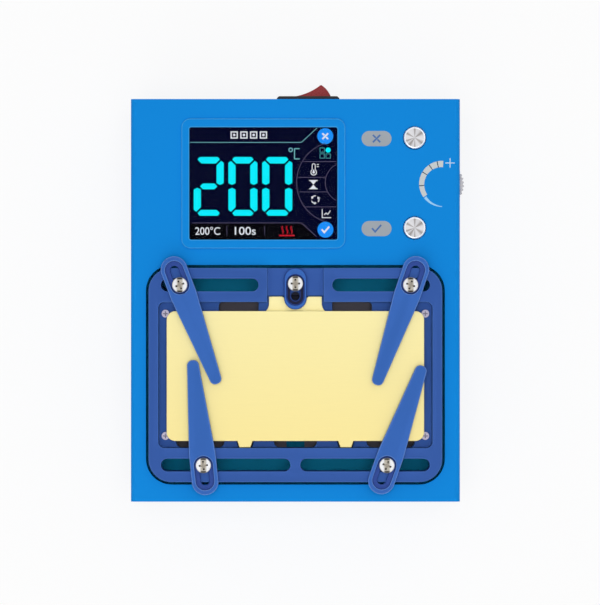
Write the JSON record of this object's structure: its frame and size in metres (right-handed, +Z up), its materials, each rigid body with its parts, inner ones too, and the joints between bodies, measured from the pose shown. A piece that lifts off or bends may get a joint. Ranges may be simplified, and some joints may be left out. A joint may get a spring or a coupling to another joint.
{
  "type": "pcb preheater",
  "caption": "Benchtop circuit board preheater: sheet metal case, colour display, buttons and thumbwheel, and a heated plate in a frame with swinging clamp arms.",
  "frame": {"origin": "centre of the whole part's box, on the surface it stands on", "axes": "+X to the right seen from the front, +Y to the rear wall with the power switch, +Z up"},
  "size_m": [0.1094, 0.138, 0.0463],
  "materials": {
    "case_paint": "satin blue powder coat",
    "anodised_blue": "matt blue anodised",
    "arm_blue": "matt blue anodised",
    "gold_plate": "satin gold",
    "steel": "bright",
    "spun_metal": "spun",
    "rubber": "matt",
    "black_plastic": "matt",
    "red_plastic": "gloss",
    "grey_plastic": "satin",
    "window_glass": "gloss",
    "circuit_board": "solder mask",
    "brass": "plain",
    "nylon": "plain",
    "winding_tape": "tape",
    "capacitor_sleeve": "sleeve",
    "bare_aluminium": "machined",
    "terminal_green": "plain",
    "fuse_glass": "clear",
    "mica": "matt",
    "ceramic": "matt"
  },
  "bodies": {
    "case": {"top_cover": "case_paint", "base_tray": "case_paint", "cover_screws": "steel", "rubber_feet": "rubber", "foot_screws": "steel", "display_bezel": "case_paint", "display_window": "window_glass", "display_module": "black_plastic", "display_spacers": "nylon", "control_board": "circuit_board", "board_standoffs": "brass", "board_screws": "steel", "key_switches": "black_plastic", "wheel_encoder": "black_plastic", "switch_housing": "black_plastic", "switch_terminals": "steel", "power_inlet": "black_plastic", "inlet_pins": "steel", "power_board": "circuit_board", "power_standoffs": "brass", "power_screws": "steel", "transformer": "winding_tape", "filter_capacitor": "capacitor_sleeve", "triac_heatsink": "bare_aluminium", "terminal_block": "terminal_green", "fuse": "fuse_glass", "heat_shield": "case_paint", "stage_standoffs": "steel", "stage_screws": "steel", "stage_frame": "anodised_blue", "heater_block": "bare_aluminium", "heater_cartridges": "steel", "temperature_probe": "steel", "insulation_sheet": "mica", "insulator_posts": "ceramic", "heat_plate": "gold_plate", "plate_lock_screw": "steel"},
    "rocker": {"power_rocker": "red_plastic"},
    "exit_key": {"exit_button": "spun_metal"},
    "ok_key": {"ok_button": "spun_metal"},
    "wheel": {"thumbwheel": "grey_plastic"},
    "lock": {"plate_lock": "arm_blue"},
    "rear_left_nut": {"clamp_nut_rear_left": "steel"},
    "rear_left_screw": {"clamp_screw_rear_left": "steel"},
    "rear_left_arm": {"clamp_arm_rear_left": "arm_blue"},
    "rear_right_nut": {"clamp_nut_rear_right": "steel"},
    "rear_right_screw": {"clamp_screw_rear_right": "steel"},
    "rear_right_arm": {"clamp_arm_rear_right": "arm_blue"},
    "front_left_nut": {"clamp_nut_front_left": "steel"},
    "front_left_screw": {"clamp_screw_front_left": "steel"},
    "front_left_arm": {"clamp_arm_front_left": "arm_blue"},
    "front_right_nut": {"clamp_nut_front_right": "steel"},
    "front_right_screw": {"clamp_screw_front_right": "steel"},
    "front_right_arm": {"clamp_arm_front_right": "arm_blue"}
  },
  "joints": [
    {"name": "rocker_swing", "type": "hinge", "parent": "case", "child": "rocker", "pos_m": [0.00345, 0.06201, 0.0202], "axis": [0, 0, 1], "range_deg": [-38, 0]},
    {"name": "exit_press", "type": "slide", "parent": "case", "child": "exit_key", "axis": [0, 0, -1], "range_m": [0, 0.0006], "stiffness_N_per_m": 1500},
    {"name": "ok_press", "type": "slide", "parent": "case", "child": "ok_key", "axis": [0, 0, -1], "range_m": [0, 0.0006], "stiffness_N_per_m": 1500},
    {"name": "wheel_turn", "type": "hinge", "parent": "case", "child": "wheel", "pos_m": [0.04735, 0.03521, 0.035], "axis": [0, 0, 1], "continuous": true},
    {"name": "lock_slide", "type": "slide", "parent": "case", "child": "lock", "axis": [0, 1, 0], "range_m": [0, 0.0042]},
    {"name": "rear_left_nut_slide", "type": "slide", "parent": "case", "child": "rear_left_nut", "axis": [1, 0, 0], "range_m": [0, 0.0233]},
    {"name": "rear_left_swing", "type": "hinge", "parent": "rear_left_nut", "child": "rear_left_screw", "pos_m": [-0.03844, 0.00203, 0.044], "axis": [0, 0, 1], "range_deg": [0, 70]},
    {"name": "rear_left_arm_slide", "type": "slide", "parent": "rear_left_screw", "child": "rear_left_arm", "axis": [0.3551, -0.9348, 0], "range_m": [0, 0.005]},
    {"name": "rear_right_nut_slide", "type": "slide", "parent": "case", "child": "rear_right_nut", "axis": [1, 0, 0], "range_m": [-0.0232, 0.0041]},
    {"name": "rear_right_swing", "type": "hinge", "parent": "rear_right_nut", "child": "rear_right_screw", "pos_m": [0.03682, 0.00203, 0.044], "axis": [0, 0, 1], "range_deg": [-70, 8]},
    {"name": "rear_right_arm_slide", "type": "slide", "parent": "rear_right_screw", "child": "rear_right_arm", "axis": [-0.3256, -0.9455, 0], "range_m": [0, 0.005]},
    {"name": "front_left_nut_slide", "type": "slide", "parent": "case", "child": "front_left_nut", "axis": [1, 0, 0], "range_m": [-0.0116, 0]},
    {"name": "front_left_swing", "type": "hinge", "parent": "front_left_nut", "child": "front_left_screw", "pos_m": [-0.03074, -0.05681, 0.044], "axis": [0, 0, 1], "range_deg": [0, 85]},
    {"name": "front_left_arm_slide", "type": "slide", "parent": "front_left_screw", "child": "front_left_arm", "axis": [-0.1045, 0.9945, 0], "range_m": [0, 0.0015]},
    {"name": "front_right_nut_slide", "type": "slide", "parent": "case", "child": "front_right_nut", "axis": [1, 0, 0], "range_m": [-0.0072, 0.0117]},
    {"name": "front_right_swing", "type": "hinge", "parent": "front_right_nut", "child": "front_right_screw", "pos_m": [0.02911, -0.05681, 0.044], "axis": [0, 0, 1], "range_deg": [-70, 8]},
    {"name": "front_right_arm_slide", "type": "slide", "parent": "front_right_screw", "child": "front_right_arm", "axis": [0.3371, 0.9415, 0], "range_m": [0, 0.005]}
  ]
}
